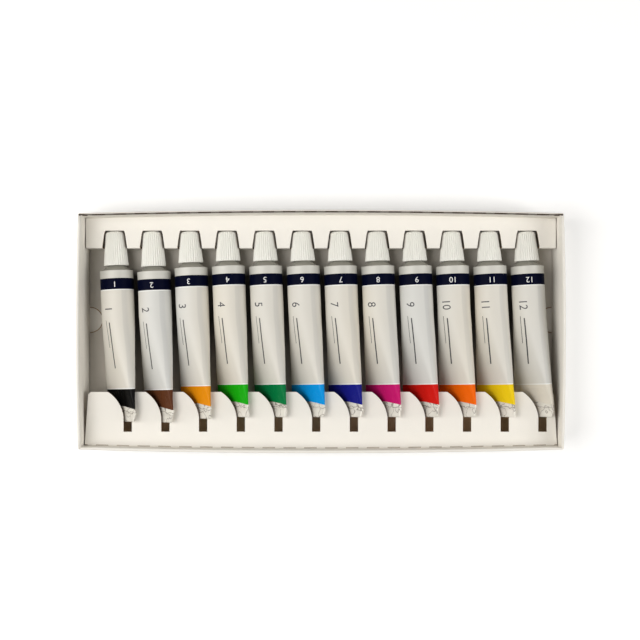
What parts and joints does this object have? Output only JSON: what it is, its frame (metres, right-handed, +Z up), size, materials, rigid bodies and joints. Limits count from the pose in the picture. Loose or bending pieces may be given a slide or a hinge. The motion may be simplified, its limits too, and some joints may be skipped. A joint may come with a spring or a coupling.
{
  "type": "oil paint set",
  "caption": "Open card tray with a folded insert that holds a row of small capped aluminium paint tubes by their caps and tails.",
  "frame": {"origin": "middle of the tray's underside", "axes": "+X along the row of tubes, +Y towards the caps, +Z up"},
  "size_m": [0.2318, 0.1152, 0.026],
  "materials": {
    "tray_card": "coated white board, satin",
    "insert_card": "white board, matte",
    "printed_tube": "soft aluminium, printed with satin enamel",
    "cap_plastic": "moulded, satin",
    "paint_black": "oil paint, wet gloss; gloss plastic stands in for it",
    "paint_burnt_umber": "oil paint, wet gloss; gloss plastic stands in for it",
    "paint_yellow_ochre": "oil paint, wet gloss; gloss plastic stands in for it",
    "paint_light_green": "oil paint, wet gloss; gloss plastic stands in for it",
    "paint_deep_green": "oil paint, wet gloss; gloss plastic stands in for it",
    "paint_sky_blue": "oil paint, wet gloss; gloss plastic stands in for it",
    "paint_ultramarine": "oil paint, wet gloss; gloss plastic stands in for it",
    "paint_magenta": "oil paint, wet gloss; gloss plastic stands in for it",
    "paint_red": "oil paint, wet gloss; gloss plastic stands in for it",
    "paint_orange": "oil paint, wet gloss; gloss plastic stands in for it",
    "paint_yellow": "oil paint, wet gloss; gloss plastic stands in for it",
    "paint_white": "oil paint, wet gloss; gloss plastic stands in for it"
  },
  "bodies": {
    "tray": {"tray": "tray_card"},
    "insert": {"insert": "insert_card"},
    "tube_01": {"tube_01": "printed_tube", "paint_01": "paint_black"},
    "cap_01": {"cap_01": "cap_plastic"},
    "tube_02": {"tube_02": "printed_tube", "paint_02": "paint_burnt_umber"},
    "cap_02": {"cap_02": "cap_plastic"},
    "tube_03": {"tube_03": "printed_tube", "paint_03": "paint_yellow_ochre"},
    "cap_03": {"cap_03": "cap_plastic"},
    "tube_04": {"tube_04": "printed_tube", "paint_04": "paint_light_green"},
    "cap_04": {"cap_04": "cap_plastic"},
    "tube_05": {"tube_05": "printed_tube", "paint_05": "paint_deep_green"},
    "cap_05": {"cap_05": "cap_plastic"},
    "tube_06": {"tube_06": "printed_tube", "paint_06": "paint_sky_blue"},
    "cap_06": {"cap_06": "cap_plastic"},
    "tube_07": {"tube_07": "printed_tube", "paint_07": "paint_ultramarine"},
    "cap_07": {"cap_07": "cap_plastic"},
    "tube_08": {"tube_08": "printed_tube", "paint_08": "paint_magenta"},
    "cap_08": {"cap_08": "cap_plastic"},
    "tube_09": {"tube_09": "printed_tube", "paint_09": "paint_red"},
    "cap_09": {"cap_09": "cap_plastic"},
    "tube_10": {"tube_10": "printed_tube", "paint_10": "paint_orange"},
    "cap_10": {"cap_10": "cap_plastic"},
    "tube_11": {"tube_11": "printed_tube", "paint_11": "paint_yellow"},
    "cap_11": {"cap_11": "cap_plastic"},
    "tube_12": {"tube_12": "printed_tube", "paint_12": "paint_white"},
    "cap_12": {"cap_12": "cap_plastic"}
  },
  "joints": [
    {"name": "insert_lift", "type": "slide", "parent": "tray", "child": "insert", "axis": [0, 0, 1], "range_m": [0, 0.04]},
    {"name": "tube_01_tip", "type": "hinge", "parent": "insert", "child": "tube_01", "pos_m": [-0.09276, -0.0437, 0.006], "axis": [1, 0, 0], "range_deg": [0, 12]},
    {"name": "cap_01_turn", "type": "hinge", "parent": "tube_01", "child": "cap_01", "pos_m": [-0.09906, 0.0291, 0.0102], "axis": [-0.041, 0.9989, -0.0235], "range_deg": [0, 1080]},
    {"name": "tube_02_tip", "type": "hinge", "parent": "insert", "child": "tube_02", "pos_m": [-0.07466, -0.0441, 0.006], "axis": [1, 0, 0], "range_deg": [0, 12]},
    {"name": "cap_02_turn", "type": "hinge", "parent": "tube_02", "child": "cap_02", "pos_m": [-0.08096, 0.0287, 0.0102], "axis": [-0.0401, 0.9989, -0.0235], "range_deg": [0, 1080]},
    {"name": "tube_03_tip", "type": "hinge", "parent": "insert", "child": "tube_03", "pos_m": [-0.05656, -0.0423, 0.006], "axis": [1, 0, 0], "range_deg": [0, 12]},
    {"name": "cap_03_turn", "type": "hinge", "parent": "tube_03", "child": "cap_03", "pos_m": [-0.06294, 0.0305, 0.0102], "axis": [-0.0392, 0.999, -0.0235], "range_deg": [0, 1080]},
    {"name": "tube_04_tip", "type": "hinge", "parent": "insert", "child": "tube_04", "pos_m": [-0.03846, -0.0415, 0.006], "axis": [1, 0, 0], "range_deg": [0, 12]},
    {"name": "cap_04_turn", "type": "hinge", "parent": "tube_04", "child": "cap_04", "pos_m": [-0.04489, 0.0313, 0.0102], "axis": [-0.0375, 0.999, -0.0235], "range_deg": [0, 1080]},
    {"name": "tube_05_tip", "type": "hinge", "parent": "insert", "child": "tube_05", "pos_m": [-0.02036, -0.0415, 0.006], "axis": [1, 0, 0], "range_deg": [0, 12]},
    {"name": "cap_05_turn", "type": "hinge", "parent": "tube_05", "child": "cap_05", "pos_m": [-0.02679, 0.0313, 0.0102], "axis": [-0.0366, 0.9991, -0.0235], "range_deg": [0, 1080]},
    {"name": "tube_06_tip", "type": "hinge", "parent": "insert", "child": "tube_06", "pos_m": [-0.00226, -0.0415, 0.006], "axis": [1, 0, 0], "range_deg": [0, 12]},
    {"name": "cap_06_turn", "type": "hinge", "parent": "tube_06", "child": "cap_06", "pos_m": [-0.00866, 0.0313, 0.0102], "axis": [-0.0401, 0.9989, -0.0235], "range_deg": [0, 1080]},
    {"name": "tube_07_tip", "type": "hinge", "parent": "insert", "child": "tube_07", "pos_m": [0.01584, -0.0415, 0.006], "axis": [1, 0, 0], "range_deg": [0, 12]},
    {"name": "cap_07_turn", "type": "hinge", "parent": "tube_07", "child": "cap_07", "pos_m": [0.00941, 0.0313, 0.0102], "axis": [-0.0375, 0.999, -0.0235], "range_deg": [0, 1080]},
    {"name": "tube_08_tip", "type": "hinge", "parent": "insert", "child": "tube_08", "pos_m": [0.03394, -0.0415, 0.006], "axis": [1, 0, 0], "range_deg": [0, 12]},
    {"name": "cap_08_turn", "type": "hinge", "parent": "tube_08", "child": "cap_08", "pos_m": [0.02754, 0.0313, 0.0102], "axis": [-0.0401, 0.9989, -0.0235], "range_deg": [0, 1080]},
    {"name": "tube_09_tip", "type": "hinge", "parent": "insert", "child": "tube_09", "pos_m": [0.05204, -0.0415, 0.006], "axis": [1, 0, 0], "range_deg": [0, 12]},
    {"name": "cap_09_turn", "type": "hinge", "parent": "tube_09", "child": "cap_09", "pos_m": [0.04566, 0.0313, 0.0102], "axis": [-0.0419, 0.9988, -0.0235], "range_deg": [0, 1080]},
    {"name": "tube_10_tip", "type": "hinge", "parent": "insert", "child": "tube_10", "pos_m": [0.07014, -0.0415, 0.006], "axis": [1, 0, 0], "range_deg": [0, 12]},
    {"name": "cap_10_turn", "type": "hinge", "parent": "tube_10", "child": "cap_10", "pos_m": [0.06371, 0.0313, 0.0102], "axis": [-0.0366, 0.9991, -0.0235], "range_deg": [0, 1080]},
    {"name": "tube_11_tip", "type": "hinge", "parent": "insert", "child": "tube_11", "pos_m": [0.08824, -0.0415, 0.006], "axis": [1, 0, 0], "range_deg": [0, 12]},
    {"name": "cap_11_turn", "type": "hinge", "parent": "tube_11", "child": "cap_11", "pos_m": [0.08185, 0.0313, 0.0102], "axis": [-0.041, 0.9989, -0.0235], "range_deg": [0, 1080]},
    {"name": "tube_12_tip", "type": "hinge", "parent": "insert", "child": "tube_12", "pos_m": [0.10634, -0.0415, 0.006], "axis": [1, 0, 0], "range_deg": [0, 12]},
    {"name": "cap_12_turn", "type": "hinge", "parent": "tube_12", "child": "cap_12", "pos_m": [0.09997, 0.0313, 0.0102], "axis": [-0.0436, 0.9988, -0.0235], "range_deg": [0, 1080]}
  ]
}
